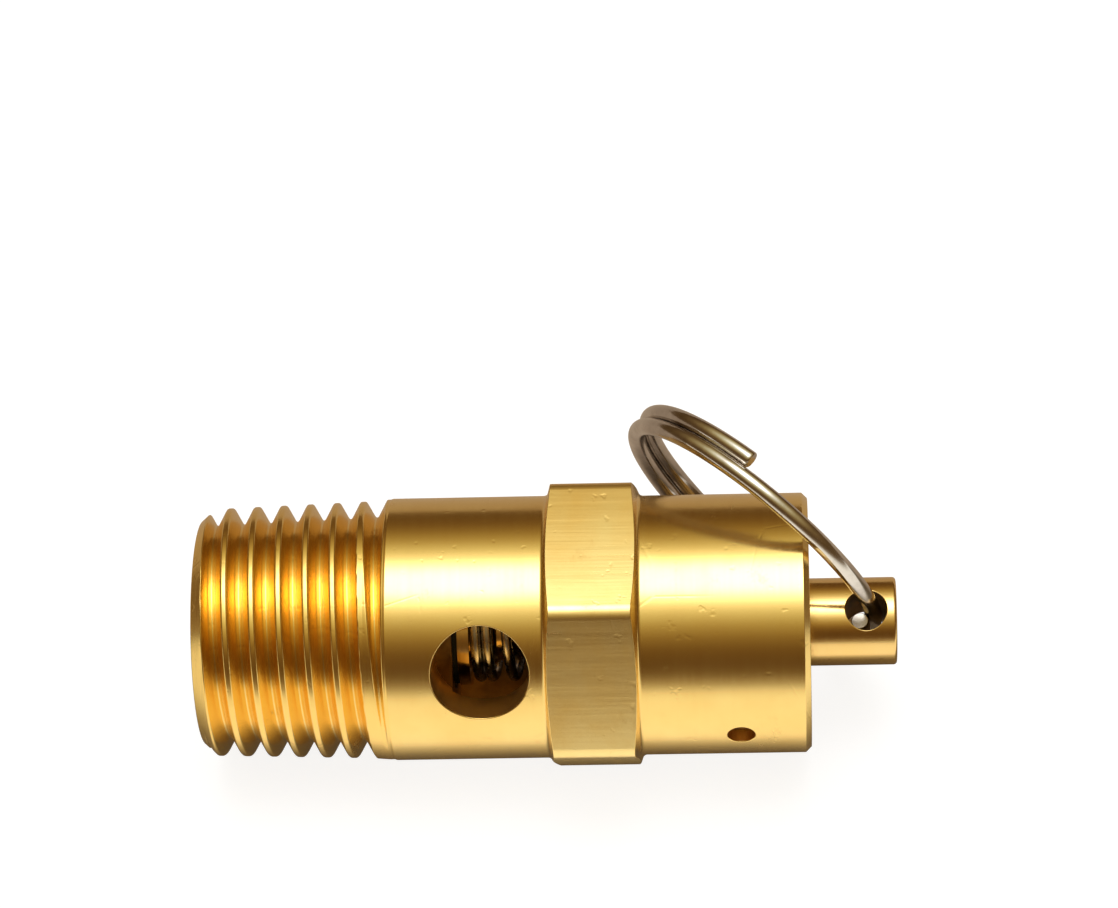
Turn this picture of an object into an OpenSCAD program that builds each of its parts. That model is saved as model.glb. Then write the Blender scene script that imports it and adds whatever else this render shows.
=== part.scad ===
// Brass pressure relief valve with a pull ring, quarter inch taper pipe thread inlet.
// Units are millimetres. +X runs along the valve from the inlet face to the stem tip, +Z is up.
// The origin is the centre of the inlet face. The valve lies on one flat of its hexagon.

/* [Body] */
// Pitch of the taper pipe thread
thread_pitch = 1.411; // [1.0:0.001:2.0]
// Depth of the thread from crest to root
thread_depth = 0.9; // [0.5:0.01:1.2]
// Distance from the inlet face to the barrel
thread_len = 9.9; // [7:0.1:14]
// Step from the barrel down to the last crest of the thread
thread_step = 0.07; // [0.02:0.01:0.3]
// Lead chamfer of the thread at the inlet face, on radius
lead_chamfer = 0.62; // [0.3:0.01:0.9]
// Diameter of the barrel with the discharge ports
barrel_d = 13.8; // [12:0.1:18]
// Height of the hexagon's flats above the barrel
hex_rise = 0.245; // [0.1:0.005:2]
// Length of the hexagon
hex_len = 5.2; // [3:0.1:9]
// Length of the turned shoulder at each end of the hexagon
hex_shoulder = 0.27; // [0.1:0.01:0.6]
// Angle of the turned chamfer over the hexagon's corners
hex_chamfer = 12; // [5:1:40]
// Diameter of the spring housing above the hexagon
housing_d = 13.64; // [11:0.01:18]
// Length of the spring housing above the hexagon
housing_len = 8.65; // [6:0.05:16]

/* [Flow path] */
// Wall between the inlet bore and the thread's root at the inlet face
inlet_wall = 0.9; // [0.4:0.05:2]
// Diameter of the nozzle hole behind the drill cone
nozzle_d = 4.7; // [3:0.1:6]
// Length of the nozzle hole from the drill cone to the seat's lip
nozzle_len = 1.94; // [1:0.01:4]
// Distance from the thread's end to the seat's lip
seat_inset = 2.55; // [2:0.05:5]
// Width of the seat's lip
seat_lip_w = 0.4; // [0.2:0.05:0.8]
// Height of the seat's lip above the pocket floor
seat_lip_h = 0.4; // [0.2:0.05:1]
// Clearance on radius between the seat disc and its pocket
pocket_clear = 0.3; // [0.1:0.05:0.6]
// Distance from the seat's lip to the chamber floor
chamber_step = 0.85; // [0.3:0.05:1]
// Clearance on radius between the spring and the chamber
chamber_clear = 1.65; // [1:0.05:1.8]
// Diameter of the two discharge ports
port_d = 5.1; // [3:0.1:6.5]
// How far the discharge ports reach below the chamber floor
port_overlap = 0.9; // [0:0.05:1]
// Wall between the discharge ports and the hexagon
port_wall = 0.6; // [0.2:0.05:2]
// Height angle of the front discharge port
port_angle = 34.2; // [0:0.1:90]

/* [Moving stem] */
// Diameter of the stem's pull end
stem_d = 4.6; // [3.8:0.1:6]
// Length of the stem outside the housing
stem_out = 4.55; // [4:0.05:12]
// Running clearance on radius between stem and adjusting screw
stem_clear = 0.04; // [0.01:0.01:0.1]
// Clearance on radius between the spring and the stem's shank
shank_clear = 0.65; // [0.3:0.05:0.8]
// Distance from the cross hole to the stem's tip
ring_hole_inset = 1.6; // [1.4:0.05:3]
// Height angle of the cross hole
ring_hole_angle = 71.5; // [0:0.5:90]
// Thickness of the rubber seat disc
seal_t = 1.1; // [0.6:0.05:2]
// Overhang of the rubber seat disc beyond the seat's lip
seal_over = 0.15; // [0:0.05:0.5]
// Thickness of the disc holder's flange
flange_t = 0.6; // [0.4:0.05:1.5]

/* [Spring] */
// Diameter of the spring wire
spring_wire_d = 0.6; // [0.4:0.05:0.8]
// Outside diameter of the spring
spring_od = 5.7; // [4.7:0.05:7]
// Number of open coils
spring_turns = 8; // [5:0.5:12]

/* [Adjusting screw] */
// Diameter of the threaded bore that holds the adjusting screw
screw_d = 10.2; // [9.5:0.1:10.4]
// Length of the adjusting screw
screw_len = 3.6; // [2.4:0.1:6]
// Depth of the adjusting screw below the housing's end
screw_recess = 0.8; // [0.3:0.1:2]
// Width of the spanner slots in the adjusting screw
slot_w = 1.3; // [0.8:0.1:2]
// Length of the spring button's neck behind the spring
button_neck = 0.95; // [0.3:0.05:2]
// Diameter of the locking pin's hole in the housing
pin_hole_d = 1.45; // [1:0.05:2]
// Height angle of the locking pin, measured from the front
pin_angle = -3; // [-40:1:40]

/* [Pull ring] */
// Mean radius of the pull ring's wire path
ring_r = 8.0; // [6.5:0.1:14]
// Diameter of the pull ring's wire
ring_wire_d = 0.92; // [0.6:0.01:1.15]
// Tilt of the pull ring in its hole at rest
ring_tilt = 1.2; // [0:0.1:2]
// Gap between the two turns of the pull ring
ring_turn_gap = 0.02; // [0.01:0.01:0.1]
// Clearance on radius between the pull ring's wires and the cross hole
ring_hole_clear = 0.03; // [0.02:0.01:0.3]
// Gap between the pull ring at rest and the body
ring_rest_gap = 0.02; // [0.01:0.01:0.2]

/* [Hidden] */
$fn = 96;
eps = 0.01;
crest_r = barrel_d/2 - thread_step - thread_len/32;
face_r = crest_r - lead_chamfer;
inlet_d = 2*(crest_r - thread_depth - inlet_wall);
seat_x = thread_len + seat_inset;
cone_len = (inlet_d - nozzle_d)/2/tan(59);
inlet_depth = seat_x - nozzle_len - cone_len;
seal_d = nozzle_d + 2*(seat_lip_w + seal_over);
pocket_d = seal_d + 2*pocket_clear;
chamber_x = seat_x + chamber_step;
chamber_d = spring_od + 2*chamber_clear;
port_ledge = 0.45;
ledge_r = pocket_d/2 + port_ledge;
port_x = chamber_x + port_d/2 - port_overlap;
hex_x = port_x + port_d/2 + port_wall;
hex_af = barrel_d + 2*hex_rise;
hex_corner_r = hex_af/2/cos(30);
hex_end_x = hex_x + hex_len;
housing_end_x = hex_end_x + housing_len;
housing_chamfer = 0.3;
barrel_chamfer = 0.25;
bore_chamfer = 0.3;
screw_chamfer = 0.3;
hex_shoulder_drop = 0.045;
hex_corner_cut = 0.13;
screw_top_x = housing_end_x - screw_recess;
screw_low_x = screw_top_x - screw_len;
screw_bore_x = screw_low_x - 1.7;
pin_x = screw_low_x + pin_hole_d/2 + 0.025;
pin_cut = 0.75;
button_t = 1.1;
button_low_x = screw_low_x - button_t;
button_r = spring_od/2 + 0.75;
flange_x = seat_x + seal_t;
flange_r = max(seal_d/2 + 0.1, spring_od/2 + 0.15);
spring_x = flange_x + flange_t;
spring_end_x = button_low_x - button_neck;
spring_mean_r = (spring_od - spring_wire_d)/2;
spring_in_r = spring_mean_r - spring_wire_d/2;
shank_r = spring_in_r - shank_clear;
tip_r = shank_r - 0.5;
holder_r = shank_r + 0.15;
stem_r = stem_d/2;
stem_end_x = housing_end_x + stem_out;
ring_hole_x = stem_end_x - ring_hole_inset;
ring_pitch = ring_wire_d + ring_turn_gap;
ring_sag = (ring_r - sqrt(ring_r*ring_r - stem_r*stem_r))/2;
ring_slant = ring_pitch*(0.5 + asin(stem_r/ring_r)/360) + stem_r*tan(ring_tilt);
ring_hole_d = ring_wire_d + 2*norm([ring_sag, ring_slant]) + 2*ring_hole_clear;

module along(x) { translate([x, 0, 0]) rotate([0, 90, 0]) children(); }
module rod(x0, x1, r) { along(x0) cylinder(h = x1 - x0, r = r); }
module cone(x0, x1, r0, r1) { along(x0) cylinder(h = x1 - x0, r1 = r0, r2 = r1); }

// ---- taper pipe thread: columns of points that follow the helix, clamped at both ends ----
thread_cols = 40;
thread_over = 0.25;
thread_stop = thread_len + thread_over;
thread_start = -0.19;
crest_w = 0.27;
root_w = 0.15;
flank_w = (thread_pitch - crest_w - root_w)/2;
line_x = [0, crest_w, crest_w + flank_w, crest_w + flank_w + root_w];
line_low = [0, 0, 1, 1];
line_close = [-1, 1, 0, 0];
// distance from each line to the middle of its groove
to_centre = [-flank_w - root_w/2, flank_w + root_w/2, root_w/2, -root_w/2];
thread_turns = ceil(thread_stop/thread_pitch) + 1;
line_n = 4*(thread_turns + 1);
function clamp01(v) = min(1, max(0, v));
function outer_at(x) = let (c = crest_r + x/32, b = barrel_d/2 - 0.04)
  min(face_r + x*0.9, c + (b - c)*clamp01((x - thread_len + 0.9)/0.8));
// share of the full groove that is left where the thread runs out into the barrel
function groove_at(x) = max(0.03, clamp01((thread_len - 0.03 - x)/0.5));
function line_at(i, j) = thread_start + thread_pitch*(floor(i/4) - 1 + j/thread_cols) + line_x[i % 4];
function groove_share(i, j) = groove_at(line_at(i, j) + to_centre[i % 4]);
function raw_x(i, j) = line_at(i, j) + line_close[i % 4]*flank_w*(1 - groove_share(i, j));
function held_x(i, j) =
  min(thread_stop - 0.015*(line_n - i), max(0.015*(i + 1), raw_x(i, j)));
function line_r(i, j) = let (x = held_x(i, j), out = x - raw_x(i, j))
  outer_at(x) - (abs(out) > 0.001 ? 0
    : max(0, line_low[i % 4]*thread_depth*groove_share(i, j)
      - (x < 2 ? crest_r + x/32 - outer_at(x) : 0)));
function ring_pt(x, r, j) = let (a = 360*j/thread_cols) [x, r*cos(a), r*sin(a)];
thread_pts = concat(
  [for (j = [0:thread_cols - 1]) for (i = [0:line_n + 1])
    i == 0 ? ring_pt(0, face_r, j)
    : i == line_n + 1 ? ring_pt(thread_stop, barrel_d/2 - 0.04, j)
    : ring_pt(held_x(i - 1, j), line_r(i - 1, j), j)],
  [[0, 0, 0], [thread_stop, 0, 0]]);
col_n = line_n + 2;
function at(j, i) = j*col_n + i;
last = thread_cols - 1;
thread_faces = concat(
  [for (j = [0:last - 1]) for (i = [0:col_n - 2]) [at(j, i), at(j, i + 1), at(j + 1, i)]],
  [for (j = [0:last - 1]) for (i = [0:col_n - 2]) [at(j, i + 1), at(j + 1, i + 1), at(j + 1, i)]],
  // the seam joins each line to the one a pitch further on
  [for (i = [1:line_n - 4]) [at(last, i), at(last, i + 1), at(0, i + 4)]],
  [for (i = [1:line_n - 4]) [at(last, i + 1), at(0, i + 5), at(0, i + 4)]],
  [for (i = [0:4]) [at(last, min(i, 1)), at(0, i + 1), at(0, i)]],
  [[at(last, 0), at(last, 1), at(0, 1)]],
  [for (i = [line_n - 3:line_n]) [at(last, i), at(last, i + 1), at(0, line_n + 1)]],
  [for (j = [0:last]) [at(j, 0), at((j + 1) % thread_cols, 0), thread_cols*col_n]],
  [for (j = [0:last]) [at((j + 1) % thread_cols, col_n - 1), at(j, col_n - 1),
    thread_cols*col_n + 1]]);
module thread_plug() { polyhedron(points = thread_pts, faces = thread_faces, convexity = 12); }

// ---- turned outside of the valve body ----
shoulder_r = hex_af/2 - hex_shoulder_drop;
corner_cut_r = hex_corner_r - hex_corner_cut;
corner_dx = hex_shoulder + (corner_cut_r - shoulder_r)*tan(hex_chamfer);
module hex_bar() {
  intersection() {
    along(hex_x) rotate([0, 0, 30]) cylinder(h = hex_len, r = hex_corner_r, $fn = 6);
    along(hex_x) rotate_extrude() polygon([[0, 0], [barrel_d/2 - 0.05, 0], [shoulder_r, hex_shoulder],
      [corner_cut_r, corner_dx], [corner_cut_r, hex_len - corner_dx],
      [shoulder_r, hex_len - hex_shoulder], [min(housing_d/2, shoulder_r) - 0.05, hex_len],
      [0, hex_len]]);
  }
}
module outside() {
  thread_plug();
  along(thread_len) rotate_extrude() polygon([[0, 0], [barrel_d/2 - barrel_chamfer, 0],
    [barrel_d/2, barrel_chamfer],
    [barrel_d/2, hex_x - thread_len], [housing_d/2, hex_x - thread_len],
    [housing_d/2, housing_end_x - thread_len - housing_chamfer],
    [housing_d/2 - housing_chamfer, housing_end_x - thread_len], [0, housing_end_x - thread_len]]);
  hex_bar();
}
module flow_bore() {
  along(-eps) rotate_extrude() polygon([[0, 0], [inlet_d/2 + bore_chamfer, 0],
    [inlet_d/2, bore_chamfer + eps],
    [inlet_d/2, inlet_depth], [nozzle_d/2, inlet_depth + cone_len], [nozzle_d/2, seat_x + 2],
    [0, seat_x + 2]]);
}
module spring_bore() {
  rod(chamber_x, screw_bore_x, chamber_d/2);
  rod(screw_bore_x - eps, housing_end_x + 1, screw_d/2);
  cone(housing_end_x - bore_chamfer, housing_end_x + eps, screw_d/2, screw_d/2 + bore_chamfer + eps);
  difference() {
    rod(seat_x - seat_lip_h, chamber_x + eps, pocket_d/2);
    rod(seat_x - seat_lip_h - 1, seat_x, nozzle_d/2 + seat_lip_w);
  }
}
module port(angle) {
  translate([port_x, 0, 0]) rotate([90 - angle, 0, 0])
    translate([0, 0, ledge_r]) cylinder(h = 20, d = port_d);
}
module pin_axis() { translate([pin_x, 0, 0]) rotate([90 - pin_angle, 0, 0]) children(); }

module valve_body() {
  color([0.80, 0.62, 0.28]) difference() {
    outside();
    flow_bore();
    spring_bore();
    port(port_angle);
    port(port_angle + 180);
    pin_axis() cylinder(h = 10, d = pin_hole_d);
  }
}

module adjusting_screw() {
  color([0.76, 0.58, 0.26]) difference() {
    along(screw_low_x) rotate_extrude() polygon([[0, 0], [screw_d/2 - screw_chamfer, 0],
      [screw_d/2, screw_chamfer], [screw_d/2, screw_len - screw_chamfer],
      [screw_d/2 - screw_chamfer, screw_len], [0, screw_len]]);
    rod(screw_low_x - 1, screw_top_x + 1, stem_r + stem_clear);
    cone(screw_top_x - 0.25, screw_top_x + eps, stem_r + stem_clear, stem_r + stem_clear + 0.26);
    translate([screw_top_x - 1, -10, -slot_w/2]) cube([3, 20, slot_w]);
    pin_axis() translate([0, 0, screw_d/2 - pin_cut]) cylinder(h = 3, d = pin_hole_d);
  }
}

module lock_pin() {
  color([0.45, 0.45, 0.47]) pin_axis() translate([0, 0, screw_d/2 - pin_cut + 0.05])
    cylinder(h = (housing_d - screw_d)/2 - 0.05, d = pin_hole_d - 0.02);
}

module spring_button() {
  color([0.76, 0.58, 0.26]) difference() {
    union() {
      rod(button_low_x, screw_low_x, button_r);
      cone(spring_end_x - 0.9, spring_end_x, spring_in_r - 0.4, spring_in_r - 0.1);
      rod(spring_end_x, button_low_x + eps, button_r - 0.2);
    }
    rod(spring_end_x - 2, screw_low_x + 1, shank_r + 0.15);
  }
}

// ---- compression spring with closed, ground-looking ends ----
wire_sides = 8;
turn_steps = 20;
closed_turns = 1.25;
spring_x0 = spring_x + spring_wire_d/2;
spring_x1 = spring_end_x - spring_wire_d/2;
coil_lay = spring_wire_d*1.04;
open_len = spring_x1 - spring_x0 - 2*closed_turns*coil_lay;
coil_total = spring_turns + 2*closed_turns;
coil_steps = round(coil_total*turn_steps);
function coil_x(t) = spring_x0 + (t < closed_turns ? t*coil_lay
  : t > coil_total - closed_turns ? closed_turns*coil_lay + open_len
    + (t - coil_total + closed_turns)*coil_lay
  : closed_turns*coil_lay + open_len*(t - closed_turns)/spring_turns);
spring_pts = [for (k = [0:coil_steps]) let (t = coil_total*k/coil_steps, a = 360*t + 120)
  for (s = [0:wire_sides - 1]) let (b = 360*s/wire_sides,
    r = spring_mean_r + spring_wire_d/2*cos(b))
  [coil_x(t) + spring_wire_d/2*sin(b), r*cos(a), r*sin(a)]];
function sweep_faces(steps, sides) = concat(
  [[for (s = [0:sides - 1]) sides - 1 - s]],
  [[for (s = [0:sides - 1]) steps*sides + s]],
  [for (k = [0:steps - 1]) for (s = [0:sides - 1])
    [k*sides + s, k*sides + (s + 1) % sides, (k + 1)*sides + s]],
  [for (k = [0:steps - 1]) for (s = [0:sides - 1])
    [k*sides + (s + 1) % sides, (k + 1)*sides + (s + 1) % sides, (k + 1)*sides + s]]);
module spring() {
  color([0.70, 0.71, 0.72]) polyhedron(points = spring_pts,
    faces = sweep_faces(coil_steps, wire_sides), convexity = 10);
}

holder_len = 2.6;
module disc_holder() {
  color([0.80, 0.62, 0.28]) difference() {
    union() {
      rod(flange_x, spring_x, flange_r);
      rod(flange_x + eps, spring_x + 1.1, spring_in_r - 0.15);
      cone(spring_x + 1.1 - eps, spring_x + 1.4, spring_in_r - 0.15, spring_in_r - 0.45);
      rod(spring_x + 1, spring_x + holder_len, holder_r);
    }
    rod(spring_x - 0.1, spring_x + 4, tip_r);
  }
}

module seat_disc() {
  color([0.06, 0.06, 0.06]) rod(seat_x, flange_x, seal_d/2);
}

module stem() {
  color([0.80, 0.62, 0.28]) difference() {
    union() {
      rod(spring_x - 0.1, spring_x + holder_len, tip_r);
      rod(spring_x + holder_len, screw_low_x + 0.7, shank_r);
      cone(screw_low_x + 0.7 - eps, screw_low_x + 1.2, shank_r, stem_r);
      rod(screw_low_x + 1.2 - eps, stem_end_x - 0.15, stem_r);
      cone(stem_end_x - 0.15 - eps, stem_end_x, stem_r, stem_r - 0.15);
    }
    translate([ring_hole_x, 0, 0]) rotate([90 - ring_hole_angle, 0, 0])
      translate([0, 0, -5]) cylinder(h = 10, d = ring_hole_d);
  }
}

// ---- split ring: two turns of wire, threaded through the cross hole ----
ring_sides = 14;
ring_step = 6;
ring_start = 95;
ring_stop = 731;
ring_steps = round((ring_stop - ring_start)/ring_step);
hole_axis = [0, -cos(ring_hole_angle), sin(ring_hole_angle)];
hole_side = [0, sin(ring_hole_angle), cos(ring_hole_angle)];
function ring_angle(k) = ring_start + (ring_stop - ring_start)*k/ring_steps;
function ring_lift(s) = ring_pitch*(0.5 - (s - 360)/360);
function lean_dir(lean) = [-cos(lean), 0, 0] + sin(lean)*hole_side;
function lean_normal(lean) = [sin(lean), 0, 0] + cos(lean)*hole_side;
function wire_dir(lean) = cos(ring_tilt)*hole_axis - sin(ring_tilt)*lean_normal(lean);
function ring_normal(lean) = cos(ring_tilt)*lean_normal(lean) + sin(ring_tilt)*hole_axis;
function wire_at(lean, s, r, z) = [ring_hole_x, 0, 0] + (ring_r - ring_sag - r*cos(s))*lean_dir(lean)
  + r*sin(s)*wire_dir(lean) + z*ring_normal(lean);

// the ring leans back until its wire would come closer to the body than the rest gap
function apart(p, end, r, chamfer) = let (x = p[0] - end, out = norm([p[1], p[2]]) - r)
  max(x, out, (x + out + chamfer)/sqrt(2));
function ring_gap(lean) = min([for (k = [0:ring_steps])
  let (s = ring_angle(k), p = wire_at(lean, s, ring_r, ring_lift(s)))
  min(apart(p, housing_end_x, housing_d/2, housing_chamfer), apart(p, hex_end_x, hex_corner_r, 0))])
  - ring_wire_d/2;
function least_lean(lean) = lean >= 90 || ring_gap(lean) >= ring_rest_gap ? lean : least_lean(lean + 1);
ring_lean = least_lean(30);

ring_pts = [for (k = [0:ring_steps]) for (q = [0:ring_sides - 1])
  let (s = ring_angle(k), b = -360*q/ring_sides)
  wire_at(ring_lean, s, ring_r + ring_wire_d/2*cos(b), ring_lift(s) + ring_wire_d/2*sin(b))];
module pull_ring() {
  color([0.72, 0.72, 0.72]) polyhedron(points = ring_pts,
    faces = sweep_faces(ring_steps, ring_sides), convexity = 8);
}

valve_body();
adjusting_screw();
lock_pin();
spring_button();
spring();
disc_holder();
seat_disc();
stem();
pull_ring();
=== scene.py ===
"""Looks of the brass pressure relief valve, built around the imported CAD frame.

Lengths are millimetres until MM turns them into metres. Angles named T run round the valve's axis
from +Y towards +Z, in degrees.
"""

import bpy
import bmesh
import math
import numpy as np
from mathutils import Matrix, Vector


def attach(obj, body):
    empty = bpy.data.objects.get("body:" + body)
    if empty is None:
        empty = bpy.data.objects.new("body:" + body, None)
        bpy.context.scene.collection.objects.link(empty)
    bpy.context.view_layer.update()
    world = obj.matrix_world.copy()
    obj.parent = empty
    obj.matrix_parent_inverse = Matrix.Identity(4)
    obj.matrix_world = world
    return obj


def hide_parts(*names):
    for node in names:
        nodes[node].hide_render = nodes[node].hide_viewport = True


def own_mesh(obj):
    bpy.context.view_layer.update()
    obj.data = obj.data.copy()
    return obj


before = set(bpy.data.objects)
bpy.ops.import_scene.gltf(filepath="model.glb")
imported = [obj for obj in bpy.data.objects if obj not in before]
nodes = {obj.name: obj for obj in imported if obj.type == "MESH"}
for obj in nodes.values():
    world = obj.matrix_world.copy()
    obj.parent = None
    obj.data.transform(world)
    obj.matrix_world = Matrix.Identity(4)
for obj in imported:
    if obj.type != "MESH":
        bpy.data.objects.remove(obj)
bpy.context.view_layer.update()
MM = 0.001

# ---------------------------------------------------------------- sizes, as in the CAD
PITCH, CREST, DEPTH, FACE_R, THREAD_X = 1.411, 6.52, 0.9, 5.9, 9.9
CREST_W, ROOT_W, THREAD_START = 0.27, 0.15, -0.19
BARREL_R, HEX_X, HEX_END, HEX_A, HOUSING_R, HOUSING_END = 6.9, 18.1, 23.3, 7.145, 6.82, 31.95
BARREL_X, BARREL_STOP, HOUSING_X, HOUSING_STOP, CHAMFER = 10.16, 17.84, 23.36, 31.6, 0.3
HEX_SHELF, HEX_SHOULDER, HEX_SLOPE, HEX_ROUND, HEX_FILLET = 7.1, 0.27, 0.21, 0.85, 0.25
HEX_EDGE, HEX_CROWN = 0.035, 3.5
INLET_R, CHAMBER_X, CHAMBER_R, PORT_R, PORT_X = 4.7, 13.3, 4.5, 2.55, 14.95
LEDGE_R, SCREW_R, PIN_R, PIN_X = 3.65, 5.1, 0.725, 28.3
STEM_R, STEM_X, STEM_STOP, STEM_END, HOLE_R, HOLE_X = 2.3, 33.3, 36.1, 36.5, 1.077, 34.9
SHANK_R, SHANK_TIP_R = 1.6, 1.1
SHANK_TIP_X, SHANK_X, SHANK_END, SHANK_CONE_END = 14.05, 16.75, 28.25, 28.75
PORT_T = (145.8, 325.8)
PIN_T = 183.0
HOLE_T = (108.5, 288.5)
RING_R, RING_W, RING_LAY, RING_LEAN, RING_TILT = 8.0, 0.92, 0.94, 41.0, 1.2
SPRING_X0, SPRING_X1, SPRING_W, SPRING_R, SPRING_TURNS = 14.15, 25.5, 0.6, 2.55, 8.0
SPRING_LAY, SPRING_CLOSED = 1.04, 1.25


# ---------------------------------------------------------------- mesh helpers
class Skin:
    """Vertices with their true normals, and faces that are turned to agree with them."""

    def __init__(self):
        self.v, self.n, self.f, self.m = [], [], [], []

    def add(self, x, r, t, nx, nr, nt=0.0):
        c, s = math.cos(t), math.sin(t)
        self.v.append((x * MM, r * c * MM, r * s * MM))
        self.n.append((nx, nr * c - nt * s, nr * s + nt * c))
        return len(self.v) - 1

    def raw(self, p, n):
        self.v.append((p[0] * MM, p[1] * MM, p[2] * MM))
        self.n.append(tuple(n))
        return len(self.v) - 1

    def strip(self, a, b, mat):
        """Joins two rows that run all the way round."""
        for i in range(len(a)):
            j = (i + 1) % len(a)
            self.f.append((a[i], a[j], b[j], b[i]))
            self.m.append(mat)

    def build(self, name, mats):
        """Makes the object, with each face turned to the side that its normals point to."""
        v, n = np.array(self.v), np.array(self.n)
        n /= np.linalg.norm(n, axis=1)[:, None]
        faces = []
        for f in self.f:
            g = np.cross(v[f[2]] - v[f[0]], v[f[-1]] - v[f[1]])
            if g @ n[list(f)].sum(0) < 0:
                f = tuple(reversed(f))
            faces.append(f)
        mesh = bpy.data.meshes.new(name)
        mesh.from_pydata(self.v, [], faces)
        for mat in mats:
            mesh.materials.append(mat)
        mesh.polygons.foreach_set("material_index", self.m)
        mesh.polygons.foreach_set("use_smooth", [True] * len(faces))
        mesh.normals_split_custom_set_from_vertices([tuple(q) for q in n])
        mesh.update()
        o = bpy.data.objects.new(name, mesh)
        bpy.context.collection.objects.link(o)
        return o


def rounded(pts, radius, steps=3):
    """A turned profile of (x, r) corners with small fillets, as (x, r, nx, nr), normals on its left."""
    pts = [np.array(p, float) for p in pts]
    out = []
    dirs = [(b - a) / np.linalg.norm(b - a) for a, b in zip(pts, pts[1:])]
    left = [np.array((-d[1], d[0])) for d in dirs]
    out.append((*pts[0], *left[0]))
    for i in range(1, len(pts) - 1):
        d1, d2, n1 = dirs[i - 1], dirs[i], left[i - 1]
        turn = math.atan2(d1[0] * d2[1] - d1[1] * d2[0], d1 @ d2)
        reach = 0.45 * min(np.linalg.norm(pts[i] - pts[i - 1]), np.linalg.norm(pts[i + 1] - pts[i]))
        cut = min(radius * math.tan(abs(turn) / 2), reach)
        if abs(turn) < 0.02:
            out.append((*pts[i], *n1))
            continue
        rad = cut / math.tan(abs(turn) / 2)
        side = 1 if turn > 0 else -1
        c = pts[i] - d1 * cut + n1 * rad * side
        for k in range(steps + 1):
            a = turn * k / steps
            ca, sa = math.cos(a), math.sin(a)
            n = np.array((n1[0] * ca - n1[1] * sa, n1[0] * sa + n1[1] * ca))
            out.append((*(c - n * rad * side), *n))
    out.append((*pts[-1], *left[-1]))
    return out


def lathe(skin, path, cols, mat, keep_first=None):
    """Turns a path round the axis. keep_first is a row of vertices that stands in for the first ring."""
    rows = []
    for k, (x, r, nx, nr) in enumerate(path):
        if k == 0 and keep_first is not None:
            rows.append(keep_first)
            continue
        rows.append([skin.add(x, r, 2 * math.pi * j / cols, nx, nr) for j in range(cols)])
    for a, b in zip(rows, rows[1:]):
        skin.strip(a, b, mat)
    return rows


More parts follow.
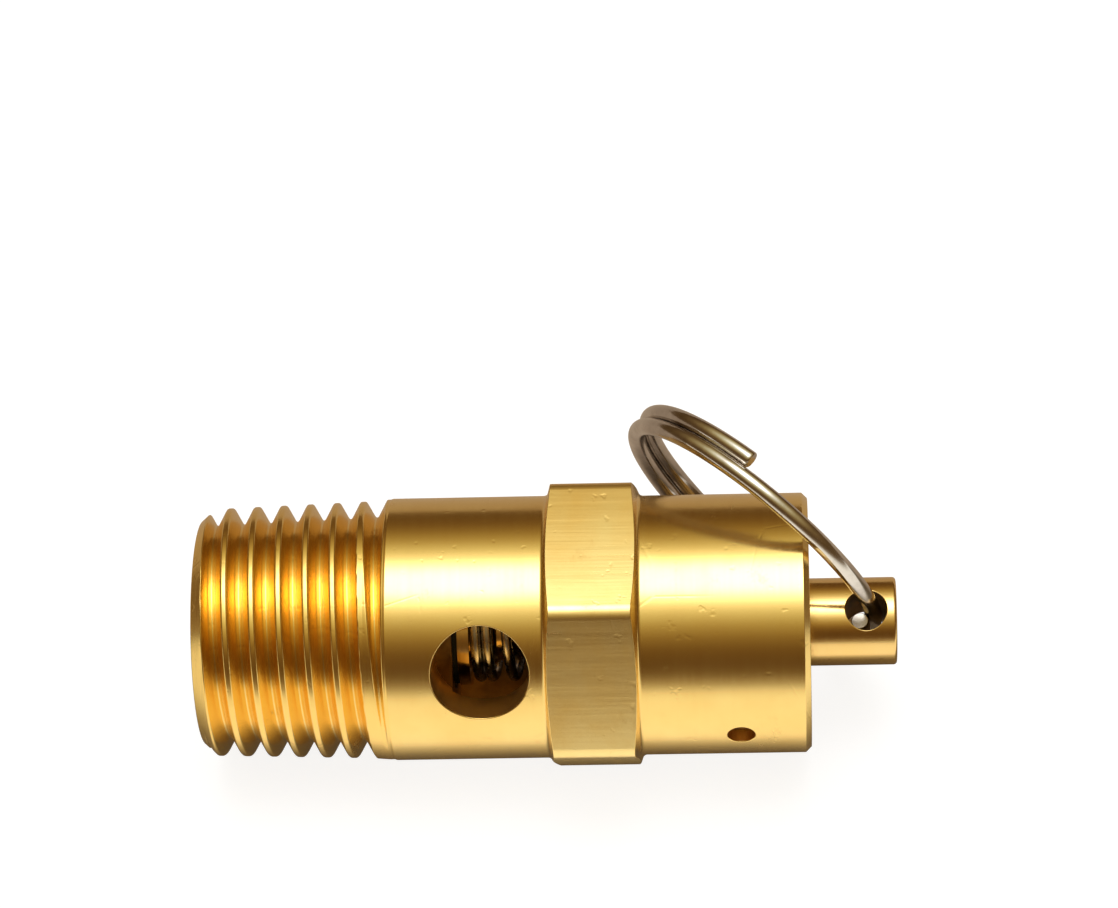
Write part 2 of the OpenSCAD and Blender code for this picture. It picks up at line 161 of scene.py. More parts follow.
def pierced(skin, x0, x1, radius, nx, nt, holes, mat):
    """A tube's outer skin between x0 and x1 with round radial holes whose rims are rounded.

    Each hole is a patch of the tube's grid that is cut out and filled with loops which blend from the
    patch's outline to the hole's circle, over the rounded rim and down the hole's wall.
    """
    cells, patches = set(), []
    for h in holes:
        j0 = int(round(math.radians(h["t"]) / (2 * math.pi) * nt))
        i0 = int(round((h["x"] - x0) / (x1 - x0) * nx))
        half_i = max(2, int(math.ceil((h["r"] + h["rim"] + h["room"]) / ((x1 - x0) / nx))))
        half_j = max(2, int(math.ceil((h["r"] + h["rim"] + h["room"]) / (2 * math.pi * radius / nt))))
        lo, hi = max(0, i0 - half_i), min(nx, i0 + half_i)
        patches.append((lo, hi, j0 - half_j, j0 + half_j, h))
        cells |= {(i, j % nt) for i in range(lo, hi) for j in range(j0 - half_j, j0 + half_j)}
    inner = set()
    for lo, hi, ja, jb, h in patches:
        inner |= {(i, j % nt) for i in range(lo + 1, hi) for j in range(ja + 1, jb)}
    index = {}
    for i in range(nx + 1):
        for j in range(nt):
            if (i, j) not in inner:
                index[i, j] = skin.add(x0 + (x1 - x0) * i / nx, radius, 2 * math.pi * j / nt, 0, 1)
    for i in range(nx):
        for j in range(nt):
            if (i, j) not in cells:
                k = (j + 1) % nt
                skin.f.append((index[i, j], index[i, k], index[i + 1, k], index[i + 1, j]))
                skin.m.append(mat)
    for lo, hi, ja, jb, h in patches:
        edge = ([(i, ja) for i in range(lo, hi)] + [(hi, j) for j in range(ja, jb)]
                + [(i, jb) for i in range(hi, lo, -1)] + [(lo, j) for j in range(jb, ja, -1)])
        base = math.radians(h["t"])
        ca, sa = math.cos(base), math.sin(base)
        rim = h["rim"]
        plan = []
        for i, j in edge:
            x = x0 + (x1 - x0) * i / nx
            t = radius * math.sin(2 * math.pi * j / nt - base)
            plan.append((x - h["x"], t))

        def place(u, t, drop, n_local):
            z = math.sqrt(max(radius * radius - t * t, 0)) - drop
            p = (h["x"] + u, z * ca - t * sa, z * sa + t * ca)
            n = (n_local[0], n_local[2] * ca - n_local[1] * sa, n_local[2] * sa + n_local[1] * ca)
            return skin.raw(p, n)

        loops = [[index[i, j % nt] for i, j in edge]]
        for k in (0.35, 0.65, 0.88, 1.0):
            row = []
            for u, t in plan:
                b = math.atan2(t, u)
                d = h["r"] + rim
                uu, tt = u + (d * math.cos(b) - u) * k, t + (d * math.sin(b) - t) * k
                row.append(place(uu, tt, 0, (0, tt / radius, math.sqrt(1 - (tt / radius) ** 2))))
            loops.append(row)
        for a in (25, 50, 75, 90):
            a = math.radians(a)
            row = []
            for u, t in plan:
                b = math.atan2(t, u)
                d = h["r"] + rim - rim * math.sin(a)
                uu, tt = d * math.cos(b), d * math.sin(b)
                up = np.array((0, tt / radius, math.sqrt(1 - (tt / radius) ** 2)))
                n = up * math.cos(a) - np.array((math.cos(b), math.sin(b), 0)) * math.sin(a)
                row.append(place(uu, tt, rim * (1 - math.cos(a)), n))
            loops.append(row)
        for a, b in zip(loops, loops[1:]):
            skin.strip(a, b, mat)
        walls = [loops[-1]]
        for k in (0.3, 0.65, 1.0):
            row = []
            for u, t in plan:
                b = math.atan2(t, u)
                uu, tt = h["r"] * math.cos(b), h["r"] * math.sin(b)
                top = math.sqrt(radius * radius - tt * tt) - rim
                z = top + (h["deep"](uu, tt) - top) * k
                n = (-math.cos(b), -math.sin(b), 0)
                p = (h["x"] + uu, z * ca - tt * sa, z * sa + tt * ca)
                row.append(skin.raw(p, (n[0], -n[1] * sa, n[1] * ca)))
            walls.append(row)
        for a, b in zip(walls, walls[1:]):
            skin.strip(a, b, h.get("wall", mat))
    return [index[0, j] for j in range(nt)], [index[nx, j] for j in range(nt)]


# ---------------------------------------------------------------- materials
def new_material(name):
    """A material that has only a Principled shader: returns it, its node tree and the shader."""
    m = bpy.data.materials.new(name)
    m.use_nodes = True
    t = m.node_tree
    t.nodes.clear()
    out = t.nodes.new("ShaderNodeOutputMaterial")
    bsdf = t.nodes.new("ShaderNodeBsdfPrincipled")
    t.links.new(bsdf.outputs[0], out.inputs[0])
    return m, t, bsdf


def add(t, kind, **values):
    """Adds a node and sets its properties."""
    n = t.nodes.new(kind)
    for k, v in values.items():
        setattr(n, k, v)
    return n


def stretched_noise(t, coord, scale, detail=4.0, rough=0.6, seed=0.0):
    """Noise whose cells are 1/scale metres long on each axis."""
    mp = add(t, "ShaderNodeMapping")
    mp.inputs["Scale"].default_value = scale
    mp.inputs["Location"].default_value = (seed, seed * 1.7, seed * 0.6)
    t.links.new(coord, mp.inputs["Vector"])
    nz = add(t, "ShaderNodeTexNoise")
    nz.inputs["Scale"].default_value = 1.0
    nz.inputs["Detail"].default_value = detail
    nz.inputs["Roughness"].default_value = rough
    t.links.new(mp.outputs[0], nz.inputs["Vector"])
    return nz.outputs[0]


def ramp(t, fac, stops):
    """A colour ramp from stops of (place, (red, green, blue))."""
    n = add(t, "ShaderNodeValToRGB")
    e = n.color_ramp.elements
    while len(e) < len(stops):
        e.new(0.5)
    for s, (p, c) in zip(e, stops):
        s.position = p
        s.color = (*c, 1)
    t.links.new(fac, n.inputs[0])
    return n.outputs[0]


def mix_value(t, op, a, b):
    """A math node. Each of a and b is a number or a socket."""
    n = add(t, "ShaderNodeMath", operation=op)
    for i, v in enumerate((a, b)):
        if isinstance(v, (int, float)):
            n.inputs[i].default_value = v
        else:
            t.links.new(v, n.inputs[i])
    return n.outputs[0]


def mix_colour(t, fac, a, b):
    """Fades from a to b. Each is a colour or a socket."""
    n = add(t, "ShaderNodeMix", data_type="RGBA")
    for i, v in ((0, fac), (6, a), (7, b)):
        if isinstance(v, tuple):
            n.inputs[i].default_value = (*v, 1)
        else:
            t.links.new(v, n.inputs[i])
    return n.outputs[2]


def bump(t, height, distance, normal=None):
    """A bump that is distance metres high, on top of an earlier one if normal is given."""
    n = add(t, "ShaderNodeBump")
    n.inputs["Strength"].default_value = 1.0
    n.inputs["Distance"].default_value = distance
    t.links.new(height, n.inputs["Height"])
    if normal is not None:
        t.links.new(normal, n.inputs["Normal"])
    return n.outputs[0]


BRASS_LIGHT, BRASS_DEEP, BRASS_STAIN = (0.95, 0.69, 0.25), (0.88, 0.58, 0.17), (0.62, 0.36, 0.10)


def step(t, noise, low, high):
    """Black below low and white above high."""
    return ramp(t, noise, [(low, (0, 0, 0)), (high, (1, 1, 1))])


def brass(name, lines, line_depth, rough, blotch, scratch, aniso, seed, light=BRASS_LIGHT):
    """Brass with tool lines of the given scale and depth, tarnish patches, small dents and scratches."""
    m, t, b = new_material(name)
    co = add(t, "ShaderNodeTexCoord").outputs["Object"]
    patches = step(t, stretched_noise(t, co, (180, 180, 180), 5, 0.6, seed), 0.42, 0.72)
    streak = stretched_noise(t, co, lines, 3, 0.55, seed + 3)
    fine = stretched_noise(t, co, tuple(2.7 * q for q in lines), 2, 0.5, seed + 7)
    stain = step(t, stretched_noise(t, co, (520, 420, 420), 6, 0.72, seed + 11), 0.60, 0.76)
    colour = mix_colour(t, mix_value(t, "MULTIPLY", patches, blotch), light, BRASS_DEEP)
    colour = mix_colour(t, mix_value(t, "MULTIPLY", stain, 0.28 * scratch), colour, BRASS_STAIN)
    t.links.new(colour, b.inputs["Base Color"])
    b.inputs["Metallic"].default_value = 1.0
    r = mix_value(t, "ADD", mix_value(t, "MULTIPLY", streak, 0.12), rough - 0.06)
    r = mix_value(t, "ADD", r, mix_value(t, "MULTIPLY", patches, 0.05))
    r = mix_value(t, "ADD", r, mix_value(t, "MULTIPLY", stain, 0.10))
    t.links.new(r, b.inputs["Roughness"])
    if aniso:
        b.inputs["Anisotropic"].default_value = aniso
        b.inputs["Anisotropic Rotation"].default_value = 0.25
        tangent = add(t, "ShaderNodeTangent", direction_type="RADIAL", axis="X")
        t.links.new(tangent.outputs[0], b.inputs["Tangent"])
    n = bump(t, streak, line_depth)
    n = bump(t, fine, line_depth * 0.35, n)
    pits = stretched_noise(t, co, (1500, 1400, 1400), 2, 0.5, seed + 19)
    n = bump(t, ramp(t, pits, [(0.66, (1, 1, 1)), (0.74, (0, 0, 0))]), 4e-6 * scratch, n)
    place = add(t, "ShaderNodeMapping")
    place.inputs["Scale"].default_value = (170, 150, 150)
    place.inputs["Rotation"].default_value = (0.6, 0.9, 0.3 + seed)
    t.links.new(co, place.inputs["Vector"])
    cells = add(t, "ShaderNodeTexVoronoi", feature="DISTANCE_TO_EDGE")
    cells.inputs["Scale"].default_value = 1.0
    t.links.new(place.outputs[0], cells.inputs["Vector"])
    line = step(t, cells.outputs["Distance"], 0.0, 0.012)
    where = step(t, stretched_noise(t, co, (260, 260, 260), 3, 0.5, seed + 23), 0.56, 0.64)
    cut = mix_value(t, "MULTIPLY", mix_value(t, "SUBTRACT", 1.0, line), where)
    n = bump(t, cut, -3e-6 * scratch, n)
    t.links.new(n, b.inputs["Normal"])
    return m


# name, scale and depth of the tool lines, roughness, patches, scratches, anisotropy, seed, colour
mat_turned = brass("brass_turned", (5200, 70, 70), 2.4e-6, 0.21, 0.5, 1.1, 0.45, 0.0)
mat_thread = brass("brass_thread", (9000, 500, 500), 2.0e-6, 0.20, 0.6, 1.3, 0.0, 2.0,
                   (0.95, 0.66, 0.21))
mat_flat = brass("brass_hex_flat", (90, 2400, 2400), 6.0e-6, 0.29, 0.8, 1.6, 0.0, 4.0,
                 (0.96, 0.74, 0.31))
mat_bore = brass("brass_bore", (6500, 120, 120), 4.5e-6, 0.20, 0.6, 0.4, 0.0, 6.0,
                 (0.94, 0.64, 0.21))
# the chamber's material: painted shade, brass painted almost black so that the chamber beyond the ports
# reads as deep shade
mat_chamber_shade = brass("brass_chamber_painted_shade", (5200, 160, 160), 4.0e-6, 0.36, 0.8, 0.8, 0.0, 7.0,
                    (0.18, 0.095, 0.028))
mat_wall = brass("brass_port_wall", (5200, 160, 160), 4.0e-6, 0.34, 0.7, 0.8, 0.0, 7.2,
                 (0.94, 0.58, 0.18))
# the cross hole's material: painted shade, brass painted almost black for the shade inside the stem's cross
# hole
mat_hole_shade = brass("brass_cross_hole_painted_shade", (5200, 160, 160), 4.0e-6, 0.42, 0.8, 0.8, 0.0, 7.5,
                 (0.16, 0.09, 0.03))
mat_stem = brass("brass_stem", (6000, 90, 90), 2.0e-6, 0.17, 0.55, 1.4, 0.3, 8.0,
                 (0.90, 0.62, 0.24))
mat_screw = brass("brass_screw", (4200, 420, 420), 3.5e-6, 0.24, 0.6, 0.8, 0.0, 9.0,
                  (0.88, 0.62, 0.24))


def steel(name, colour, dark, rough, seed, grain, depth):
    """Steel that is worn to a darker colour in places, with a grain of the given scale and depth."""
    m, t, b = new_material(name)
    co = add(t, "ShaderNodeTexCoord").outputs["Object"]
    wide = stretched_noise(t, co, (340, 340, 340), 5, 0.65, seed)
    drawn = stretched_noise(t, co, (grain, grain, grain), 4, 0.6, seed + 2)
    fine = stretched_noise(t, co, (6 * grain, 6 * grain, 6 * grain), 3, 0.6, seed + 5)
    worn = mix_value(t, "MULTIPLY", step(t, wide, 0.40, 0.75), 0.7)
    t.links.new(mix_colour(t, worn, colour, dark), b.inputs["Base Color"])
    b.inputs["Metallic"].default_value = 1.0
    r = mix_value(t, "ADD", mix_value(t, "MULTIPLY", drawn, 0.14), rough - 0.06)
    t.links.new(r, b.inputs["Roughness"])
    n = bump(t, drawn, depth)
    n = bump(t, fine, depth * 0.4, n)
    t.links.new(n, b.inputs["Normal"])
    return m


mat_ring = steel("nickel_wire", (0.74, 0.70, 0.66), (0.26, 0.20, 0.16), 0.13, 1.0, 700, 3.0e-6)
mat_spring = steel("spring_wire", (0.56, 0.54, 0.52), (0.30, 0.28, 0.25), 0.26, 3.0, 900, 2.0e-6)
mat_pin = steel("pin_steel", (0.30, 0.22, 0.14), (0.12, 0.08, 0.05), 0.40, 5.0, 1800, 4.0e-6)


def rubber():
    """Black moulded rubber with a fine grain."""
    m, t, b = new_material("seat_rubber")
    co = add(t, "ShaderNodeTexCoord").outputs["Object"]
    grain = stretched_noise(t, co, (2600, 2600, 2600), 5, 0.6, 1.0)
    wide = stretched_noise(t, co, (420, 420, 420), 4, 0.6, 4.0)
    colour = ramp(t, wide, [(0.3, (0.010, 0.010, 0.011)), (0.8, (0.028, 0.027, 0.026))])
    t.links.new(colour, b.inputs["Base Color"])
    t.links.new(mix_value(t, "ADD", mix_value(t, "MULTIPLY", grain, 0.25), 0.45), b.inputs["Roughness"])
    t.links.new(bump(t, grain, 6e-6), b.inputs["Normal"])
    return m


mat_rubber = rubber()


# ---------------------------------------------------------------- valve body
def clamp(v):
    return np.clip(v, 0, 1)


def thread_radius(x, t):
    """Radius of the taper thread at x and angle t, both arrays."""
    flank = (PITCH - CREST_W - ROOT_W) / 2
    to_root = CREST_W + flank + ROOT_W / 2

    def height(w, left):
        """1 on the crest, 0 in the root; left is the share of the groove that is still cut."""
        away = np.abs(np.mod(w, PITCH) - to_root)
        return 1 - left + left * clamp((away - ROOT_W / 2) / (flank * left))

    w = x - PITCH * t / (2 * math.pi) - THREAD_START
    root_x = x - np.mod(w, PITCH) + to_root
    left = np.maximum(0.01, clamp((THREAD_X - 0.03 - root_x) / 0.5))
    # the mean of nearby heights rounds the crests and roots
    h = sum(height(w + q, left) for q in (-0.06, -0.04, -0.02, 0, 0.02, 0.04, 0.06)) / 7
    crest = CREST + x / 32
    run_out = (BARREL_R - 0.03 - crest) * clamp((x - THREAD_X + 0.9) / 0.8)
    outer = np.minimum(FACE_R + x * 0.9, crest + run_out)
    # the cut follows the taper, and lifts off before the inlet face
    cut = np.where(x < 2, crest, outer) - (1 - h) * DEPTH + DEPTH * clamp((0.35 - x) / 0.3)
    blend = 0.05
    near = clamp(1 - np.abs(outer - cut) / blend)
    r = np.minimum(outer, cut) - near * near * blend * 0.25
    end = clamp((x - 10.0) / 0.15)
    return r + (BARREL_R - r) * end * end * (3 - 2 * end)


def thread_part(skin, cols, mat):
    """The thread's skin, with normals from the slopes of thread_radius."""
    xs = np.concatenate([[0.03], np.arange(0.07, BARREL_X, 0.042), [BARREL_X]])
    ts = 2 * np.pi * np.arange(cols) / cols
    X, T = np.meshgrid(xs, ts, indexing="ij")
    dx, dt = 0.012, 0.004
    r = thread_radius(X, T)
    low, high = np.maximum(X - dx, 0.01), X + dx
    slope_x = (thread_radius(high, T) - thread_radius(low, T)) / (high - low)
    slope_t = (thread_radius(X, T + dt) - thread_radius(X, T - dt)) / (2 * dt)
    rows = []
    for i, x in enumerate(xs):
        rows.append([skin.add(x, r[i, j], ts[j], -slope_x[i, j], 1.0, -slope_t[i, j] / r[i, j])
                     for j in range(cols)])
    for a, b in zip(rows, rows[1:]):
        skin.strip(a, b, mat)
    return rows


FILLET_STEPS = (0, 0.3, 0.6, 0.9, 1.15, 1.3)


def hex_profile(r):
    """Half of the hexagon's profile where its outside is at radius r, from the fillet to the flat.

    Each point is x, radius, the normal's x and radial part, and its share of the flat's own lean. The
    fillet's radii count from the tube that it stands on.
    """
    slope = math.atan(HEX_SLOPE)
    out = [(HEX_FILLET * math.sin(q), HEX_FILLET * (1 - math.cos(q)), -math.sin(q), math.cos(q), 0.0)
           for q in FILLET_STEPS]
    depth = HEX_SHOULDER + (r - HEX_SHELF) * HEX_SLOPE
    for k in range(5):
        q = (math.pi / 2 - slope) * (1 - k / 4)
        x = depth + HEX_EDGE * (1 - math.sin(q) / math.cos(slope))
        out.append((x, r - HEX_EDGE * (1 - math.cos(q)), -math.sin(q), math.cos(q), k / 4))
    return out


def hex_part(skin, mat_face, mat_cut):
    """The hexagon with rounded corners, its flats shaded with the slight crown that polishing leaves."""
    a, corner, crown = HEX_A, math.radians(30), math.radians(HEX_CROWN)
    centre = (a - HEX_ROUND) / math.cos(corner)
    limit = math.atan((a - HEX_ROUND) * math.tan(corner) / a)
    steps = [limit * q / 10 for q in range(-10, 11)]
    steps += [limit + (corner - limit) * q / 6 for q in range(1, 12)]
    length = HEX_END - HEX_X
    squeeze = (HEX_SHELF - HOUSING_R) / (HEX_SHELF - BARREL_R + 0.02)
    fillet = len(FILLET_STEPS)
    rows = None
    for t, off in [(math.radians(30 + 60 * k) + q, q) for k in range(6) for q in steps]:
        if off <= limit:
            r, lean = a / math.cos(off), crown * off / limit
        else:
            d = off - corner
            r = centre * math.cos(d) + math.sqrt(HEX_ROUND ** 2 - (centre * math.sin(d)) ** 2)
            turned = off + math.asin(centre * math.sin(d) / HEX_ROUND)
            lean = crown + turned * (1 - crown / corner)
        tilt = lean - off
        half = hex_profile(r)
        low = [(x, BARREL_R + y if k < fillet else y, nx, nr, w)
               for k, (x, y, nx, nr, w) in enumerate(half)]
        high = [(length - x, HOUSING_R + y * squeeze if k < fillet else y, -nx, nr, w)
                for k, (x, y, nx, nr, w) in enumerate(half)]
        col = [skin.add(HEX_X + x, y, t, nx, nr * math.cos(tilt * w), nr * math.sin(tilt * w))
               for x, y, nx, nr, w in low + high[::-1]]
        if rows is None:
            rows = [[] for _ in col]
        for row, v in zip(rows, col):
            row.append(v)
    for k, (p, q) in enumerate(zip(rows, rows[1:])):
        skin.strip(p, q, mat_face if k == len(half) - 1 else mat_cut)


def valve_skin():
    """The outside of the valve body, from the inlet's chamfer to the chamfer of the housing's bore."""
    s = Skin()
    inlet = [(CHAMFER + 0.01, INLET_R), (0.0, INLET_R + CHAMFER), (0.0, FACE_R - 0.01),
             (0.03, FACE_R + 0.027)]
    rows = lathe(s, rounded(inlet, 0.05, 3), 240, 0)
    thread = thread_part(s, 240, 1)
    s.strip(rows[-1], thread[0], 1)

    def port_depth(u, t):
        """A port reaches the ledge below the chamber's floor, and the chamber's wall above it."""
        return LEDGE_R if PORT_X + u < CHAMBER_X else math.sqrt(max(CHAMBER_R ** 2 - t * t, 0.1))

    def pin_depth(u, t):
        return SCREW_R - 0.02

    ports = [dict(x=PORT_X, t=q, r=PORT_R, rim=0.07, room=0.12, deep=port_depth, wall=3) for q in PORT_T]
    first, last = pierced(s, BARREL_X, BARREL_STOP, BARREL_R, 40, 240, ports, 0)
    s.strip(thread[-1], first, 0)
    lathe(s, [(BARREL_STOP, BARREL_R, 0, 1), (HEX_X + 0.02, BARREL_R, 0, 1)], 240, 0, last)
    hex_part(s, 2, 0)
    pin = dict(x=PIN_X, t=PIN_T, r=PIN_R, rim=0.05, room=0.2, deep=pin_depth, wall=3)
    _, last = pierced(s, HOUSING_X, HOUSING_STOP, HOUSING_R, 44, 216, [pin], 0)
    lathe(s, [(HEX_END - 0.02, HOUSING_R, 0, 1), (HOUSING_X, HOUSING_R, 0, 1)], 216, 0)
    mouth = [(HOUSING_STOP, HOUSING_R), (HOUSING_END - CHAMFER, HOUSING_R),
             (HOUSING_END, HOUSING_R - CHAMFER), (HOUSING_END, SCREW_R + CHAMFER + 0.01),
             (HOUSING_END - CHAMFER, SCREW_R)]
    lathe(s, rounded(mouth, 0.08, 3), 216, 0, last)
    return s.build("valve_body_outside", [mat_turned, mat_thread, mat_flat, mat_wall])


def inner_faces():
    """The bores and chamber of the CAD body, copied to a mesh of their own, without the outside skin."""
    src = nodes["valve_body"].data
    keep = []
    near, chamfer, outside, painted_shade_x = 0.02, CHAMFER + 0.01, 5.2, CHAMBER_X - 1.3
    ports = [np.array((0, math.cos(math.radians(q)), math.sin(math.radians(q)))) for q in PORT_T]
    pin = np.array((0, math.cos(math.radians(PIN_T)), math.sin(math.radians(PIN_T))))

    def on_wall(c, n, x, axis, radius):
        p = c - np.array((x, 0, 0))
        along = p @ axis
        side = p - axis * along
        d = np.linalg.norm(side)
        return along > 0 and abs(d - radius) < 0.05 and n @ side / d < -0.9 and abs(n @ axis) < 0.2

    for p in src.polygons:
        c, n = np.array(p.center) / MM, np.array(p.normal)
        r = math.hypot(c[1], c[2])
        out = (n[1] * c[1] + n[2] * c[2]) / max(r, 1e-6)
        if out > 0.05 and r > outside:
            continue
        if abs(n[0]) > 0.9 and min(abs(c[0] - x) for x in (0.0, HEX_X, HEX_END, HOUSING_END)) < near:
            continue
        if (c[0] < chamfer and r > INLET_R - near) or (c[0] > HOUSING_END - chamfer and r > SCREW_R - near):
            continue
        if any(on_wall(c, n, PORT_X, a, PORT_R) for a in ports) or on_wall(c, n, PIN_X, pin, PIN_R):
            continue
        keep.append(p.index)
    used = sorted({v for k in keep for v in src.polygons[k].vertices})
    new = {v: i for i, v in enumerate(used)}
    mesh = bpy.data.meshes.new("valve_body_bores")
    mesh.from_pydata([tuple(src.vertices[v].co) for v in used], [],
                     [[new[v] for v in src.polygons[k].vertices] for k in keep])
    bm = bmesh.new()
    bm.from_mesh(mesh)
    bmesh.ops.remove_doubles(bm, verts=bm.verts, dist=1e-7)
    for e in bm.edges:
        e.smooth = len(e.link_faces) == 2 and e.calc_face_angle(3.0) < math.radians(28)
    for f in bm.faces:
        f.smooth = True
    bm.to_mesh(mesh)
    bm.free()
    # bores take the bore brass; faces from a little before the chamber's floor onwards take the chamber's
    # painted shade
    mesh.materials.append(mat_bore)
    mesh.materials.append(mat_chamber_shade)
    for p in mesh.polygons:
        p.material_index = int(p.center.x > painted_shade_x * MM)
    o = bpy.data.objects.new("valve_body_bores", mesh)
    bpy.context.collection.objects.link(o)
    return o


def ride(o, body, slot, *replaced):
    """Ties a piece to its body and hides the CAD nodes that it replaces; slot is not used."""
    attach(o, body)
    if replaced:
        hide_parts(*replaced)
    return o


ride(valve_skin(), "body", "brass_body", "valve_body")
ride(inner_faces(), "body", "brass_body", "valve_body")


# ---------------------------------------------------------------- stem
def stem_skin():
    """The stem: its turned outline, and the cross hole's walls down to the axis."""
    s = Skin()
    shank = [(SHANK_TIP_X, 0.05), (SHANK_TIP_X, SHANK_TIP_R), (SHANK_X, SHANK_TIP_R), (SHANK_X, SHANK_R),
             (SHANK_END, SHANK_R), (SHANK_CONE_END, STEM_R), (STEM_X, STEM_R)]
    lathe(s, rounded(shank, 0.06, 3), 144, 0)

    def to_axis(u, t):
        return 0.0

    # the cross hole's walls take the second material, a painted shade
    holes = [dict(x=HOLE_X, t=q, r=HOLE_R, rim=0.06, room=0.16, deep=to_axis, wall=1) for q in HOLE_T]
    _, last = pierced(s, STEM_X, STEM_STOP, STEM_R, 24, 144, holes, 0)
    lathe(s, rounded([(STEM_STOP, STEM_R), (STEM_END, STEM_R), (STEM_END, 0.02)], 0.2, 6), 144, 0, last)
    return s.build("stem_turned", [mat_stem, mat_hole_shade])


ride(stem_skin(), "stem_group", "brass_stem", "stem")


# ---------------------------------------------------------------- wires
def sweep(name, centre, across, up, radii, sides, mat):
    """A round wire along the points of centre, with flat ends that have a small chamfer."""
    verts, faces = [], []
    k = len(centre)
    for i in range(k):
        for q in range(sides):
            b = 2 * math.pi * q / sides
            p = centre[i] + (across[i] * math.cos(b) + up[i] * math.sin(b)) * radii[i]
            verts.append(tuple(p * MM))
    for i in range(k - 1):
        for q in range(sides):
            r = (q + 1) % sides
            faces.append((i * sides + q, i * sides + r, (i + 1) * sides + r, (i + 1) * sides + q))
    faces.append(tuple(reversed(range(sides))))
    faces.append(tuple((k - 1) * sides + q for q in range(sides)))
    mesh = bpy.data.meshes.new(name)
    mesh.from_pydata(verts, [], faces)
    bm = bmesh.new()
    bm.from_mesh(mesh)
    bmesh.ops.recalc_face_normals(bm, faces=bm.faces)
    for f in bm.faces:
        f.smooth = len(f.verts) == 4
    for e in bm.edges:
        if any(len(f.verts) != 4 for f in e.link_faces):
            e.smooth = False
    bm.to_mesh(mesh)
    bm.free()
    mesh.materials.append(mat)
    o = bpy.data.objects.new(name, mesh)
    bpy.context.collection.objects.link(o)
    return o


def ring_wire():
    """The split ring: nearly two turns of wire that leans and tilts in the stem's cross hole."""
    th, lean, tilt = math.radians(180 - HOLE_T[0]), math.radians(RING_LEAN), math.radians(RING_TILT)
    hole = np.array((0, -math.cos(th), math.sin(th)))
    side = np.array((0, math.sin(th), math.cos(th)))
    u = np.array((-math.cos(lean), 0, 0)) + math.sin(lean) * side
    n0 = np.array((math.sin(lean), 0, 0)) + math.cos(lean) * side
    w = math.cos(tilt) * hole - math.sin(tilt) * n0
    n = math.cos(tilt) * n0 + math.sin(tilt) * hole
    sag = (RING_R - math.sqrt(RING_R ** 2 - STEM_R ** 2)) / 2
    start, stop, count = 95.0, 731.0, 420
    at = np.array((HOLE_X, 0, 0))
    centre, across, up, radii = [], [], [], []
    for k in range(count + 1):
        q = k / count
        s = math.radians(start + (stop - start) * q)
        z = RING_LAY * (0.5 - (math.degrees(s) - 360) / 360)
        centre.append(at + (RING_R - sag - RING_R * math.cos(s)) * u + RING_R * math.sin(s) * w + z * n)
        across.append(-math.cos(s) * u + math.sin(s) * w)
        up.append(n)
        radii.append(RING_W / 2)
    ends = 0.06
    first = centre[0] + (centre[1] - centre[0]) / np.linalg.norm(centre[1] - centre[0]) * ends
    final = centre[-1] - (centre[-1] - centre[-2]) / np.linalg.norm(centre[-1] - centre[-2]) * ends
    centre = [centre[0], first] + centre[1:-1] + [final, centre[-1]]
    across = [across[0], across[0]] + across[1:-1] + [across[-1], across[-1]]
    up = [up[0]] + up + [up[-1]]
    radii = [RING_W / 2 - ends * 0.8, RING_W / 2] + radii[1:-1] + [RING_W / 2, RING_W / 2 - ends * 0.8]
    return sweep("pull_ring_wire", centre, across, up, radii, 28, mat_ring)


def spring_wire():
    """The coil spring, with closed turns at both ends."""
    x0, x1 = SPRING_X0 + SPRING_W / 2, SPRING_X1 - SPRING_W / 2
    lay, closed = SPRING_W * SPRING_LAY, SPRING_CLOSED
    open_len = x1 - x0 - 2 * closed * lay
    total = SPRING_TURNS + 2 * closed
    count = int(total * 64)
    centre, across, up, radii = [], [], [], []
    for k in range(count + 1):
        t = total * k / count
        a = 2 * math.pi * t + math.radians(120)
        if t < closed:
            x = x0 + t * lay
        elif t > total - closed:
            x = x0 + closed * lay + open_len + (t - total + closed) * lay
        else:
            x = x0 + closed * lay + open_len * (t - closed) / SPRING_TURNS
        e = np.array((0, math.cos(a), math.sin(a)))
        centre.append(np.array((x, 0, 0)) + e * SPRING_R)
        across.append(e)
        up.append(np.array((1.0, 0, 0)))
        radii.append(SPRING_W / 2)
    return sweep("spring_coil", centre, across, up, radii, 16, mat_spring)


ride(ring_wire(), "ring", "plated_steel", "pull_ring")
coil = ride(spring_wire(), "body", "spring_steel", "spring")
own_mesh(coil)


# ---------------------------------------------------------------- carried-over CAD nodes
def dress(node, mat, edge=0.0):
    """Gives a carried-over CAD node its material and, if asked, soft edges."""
    o = nodes[node]
    if not o.data.materials:
        o.data.materials.append(mat)
    for s in o.material_slots:
        s.material = mat
    if edge:
        b = o.modifiers.new("edge", "BEVEL")
        b.width = edge * MM
        b.segments = 2
        b.limit_method = "ANGLE"
        b.angle_limit = math.radians(40)
        b.harden_normals = False


dress("adjusting_screw", mat_screw, 0.05)
dress("spring_button", mat_screw)
dress("disc_holder", mat_stem, 0.03)
dress("seat_disc", mat_rubber, 0.05)
dress("lock_pin", mat_pin, 0.05)
for hidden, mat in (("valve_body", mat_turned), ("stem", mat_stem), ("pull_ring", mat_ring),
                    ("spring", mat_spring)):
    dress(hidden, mat)


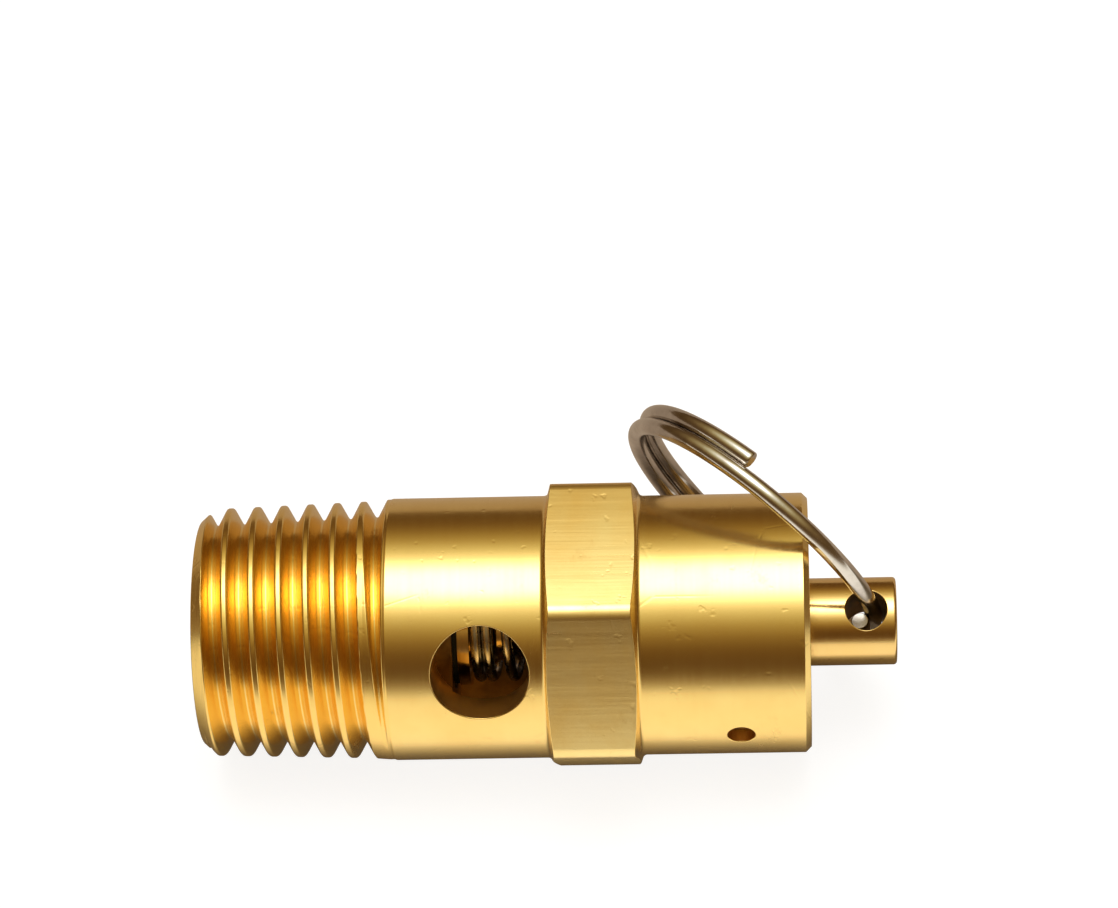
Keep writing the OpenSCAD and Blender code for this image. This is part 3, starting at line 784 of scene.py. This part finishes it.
# ---------------------------------------------------------------- floor, light, camera
def floor():
    """The pale table. It glows, evenly pale to the camera; to reflections its glow carries painted shade,
    so they see it darker than the camera does.
    """
    m, t, b = new_material("pale_table")
    co = add(t, "ShaderNodeTexCoord").outputs["Object"]
    a = stretched_noise(t, co, (60, 60, 60), 4, 0.6, 0.0)
    pale = ramp(t, a, [(0.3, (0.90, 0.90, 0.90)), (0.7, (0.93, 0.93, 0.93))])
    sep = add(t, "ShaderNodeSeparateXYZ")
    t.links.new(co, sep.inputs[0])
    place = add(t, "ShaderNodeMapRange")
    t.links.new(sep.outputs["Y"], place.inputs["Value"])
    far, near = -260, 20
    place.inputs["From Min"].default_value = far * MM
    place.inputs["From Max"].default_value = near * MM
    # painted shade: the glow that the valve's reflections see is a painted shadow under the valve, dimmer
    # far in front, and painted dark behind it for the dark of the room
    shade = ramp(t, place.outputs[0], [((y - far) / (near - far), c) for y, c in (
        (-260, (0.45, 0.42, 0.38)), (-110, (0.72, 0.71, 0.67)), (-50, (0.95, 0.95, 0.93)),
        (-10, (1, 1, 1)), (-8, (0.45, 0.42, 0.36)), (-5.5, (0.16, 0.13, 0.09)),
        (2, (0.12, 0.09, 0.06)), (10, (0.34, 0.27, 0.21)), (20, (0.36, 0.29, 0.23)))])
    path = add(t, "ShaderNodeLightPath")
    glossy, seen = path.outputs["Is Glossy Ray"], path.outputs["Is Camera Ray"]
    shade = mix_colour(t, glossy, (1.0, 1.0, 1.0), shade)
    tint = add(t, "ShaderNodeMix", data_type="RGBA", blend_type="MULTIPLY")
    tint.inputs[0].default_value = 1.0
    t.links.new(pale, tint.inputs[6])
    t.links.new(shade, tint.inputs[7])
    t.links.new(mix_colour(t, seen, tint.outputs[2], (0.28, 0.29, 0.32)), b.inputs["Base Color"])
    t.links.new(shade, b.inputs["Emission Color"])
    strength = mix_value(t, "ADD", 0.44, mix_value(t, "MULTIPLY", seen, 0.43))
    t.links.new(strength, b.inputs["Emission Strength"])
    b.inputs["Roughness"].default_value = 0.6
    b.inputs["Specular IOR Level"].default_value = 0.2
    mesh = bpy.data.meshes.new("table_top")
    half = 1.5
    corners = [(-half, -half, 0), (half, -half, 0), (half, half, 0), (-half, half, 0)]
    mesh.from_pydata(corners, [], [(0, 1, 2, 3)])
    mesh.materials.append(m)
    o = bpy.data.objects.new("table_top", mesh)
    o.location = (0.02, 0, -HEX_A * MM)
    bpy.context.collection.objects.link(o)


floor()


def studio():
    """A broad soft light overhead that fades into a warm dark room. The camera sees a pale backdrop."""
    world = bpy.data.worlds.new("studio")
    bpy.context.scene.world = world
    world.use_nodes = True
    t = world.node_tree
    t.nodes.clear()
    out = add(t, "ShaderNodeOutputWorld")
    mix = add(t, "ShaderNodeMixShader")
    path = add(t, "ShaderNodeLightPath")
    room, seen = add(t, "ShaderNodeBackground"), add(t, "ShaderNodeBackground")
    seen.inputs[0].default_value = (0.95, 0.95, 0.95, 1)
    co = add(t, "ShaderNodeTexCoord").outputs["Generated"]
    lean = math.radians(96)
    dot = add(t, "ShaderNodeVectorMath", operation="DOT_PRODUCT")
    t.links.new(co, dot.inputs[0])
    dot.inputs[1].default_value = (0, -math.cos(lean), math.sin(lean))
    away = mix_value(t, "ARCCOSINE", dot.outputs["Value"], 0.0)
    angle = mix_value(t, "DIVIDE", away, math.radians(110))
    glow = ramp(t, angle, [(q / 110, tuple(v / 5 for v in c)) for q, c in (
        (0, (4.4, 4.4, 4.4)), (10, (4.2, 4.2, 4.1)), (17, (2.3, 2.25, 2.1)), (23, (1.25, 1.2, 1.0)),
        (31, (0.78, 0.72, 0.46)), (42, (0.45, 0.35, 0.15)), (53, (0.26, 0.17, 0.06)),
        (64, (0.15, 0.085, 0.03)), (76, (0.11, 0.06, 0.02)), (86, (0.15, 0.09, 0.04)),
        (94, (0.34, 0.27, 0.18)), (104, (0.75, 0.70, 0.60)))])
    t.links.new(glow, room.inputs[0])
    room.inputs[1].default_value = 5.0
    t.links.new(path.outputs["Is Camera Ray"], mix.inputs[0])
    t.links.new(room.outputs[0], mix.inputs[1])
    t.links.new(seen.outputs[0], mix.inputs[2])
    t.links.new(mix.outputs[0], out.inputs[0])


studio()


def camera():
    """The camera, aimed by yaw, pitch and roll."""
    yaw, pitch, roll = math.radians(-4.75), math.radians(52.85), math.radians(-4.9)
    f = Vector((math.sin(yaw) * math.cos(pitch), math.cos(yaw) * math.cos(pitch), -math.sin(pitch)))
    r0 = f.cross(Vector((0, 0, 1))).normalized()
    u0 = r0.cross(f)
    r = r0 * math.cos(roll) + u0 * math.sin(roll)
    u = u0 * math.cos(roll) - r0 * math.sin(roll)
    d = bpy.data.cameras.new("camera")
    d.sensor_width = 36
    d.lens = 138.7
    d.clip_start, d.clip_end = 0.005, 20
    o = bpy.data.objects.new("camera", d)
    x, y, z = 0.0303, -0.1295, 0.1866
    o.matrix_world = Matrix(((r.x, u.x, -f.x, x), (r.y, u.y, -f.y, y), (r.z, u.z, -f.z, z), (0, 0, 0, 1)))
    bpy.context.collection.objects.link(o)
    bpy.context.scene.camera = o


camera()
view = bpy.context.scene.view_settings
view.view_transform = "Standard"
view.look = "None"
view.exposure = 0.0
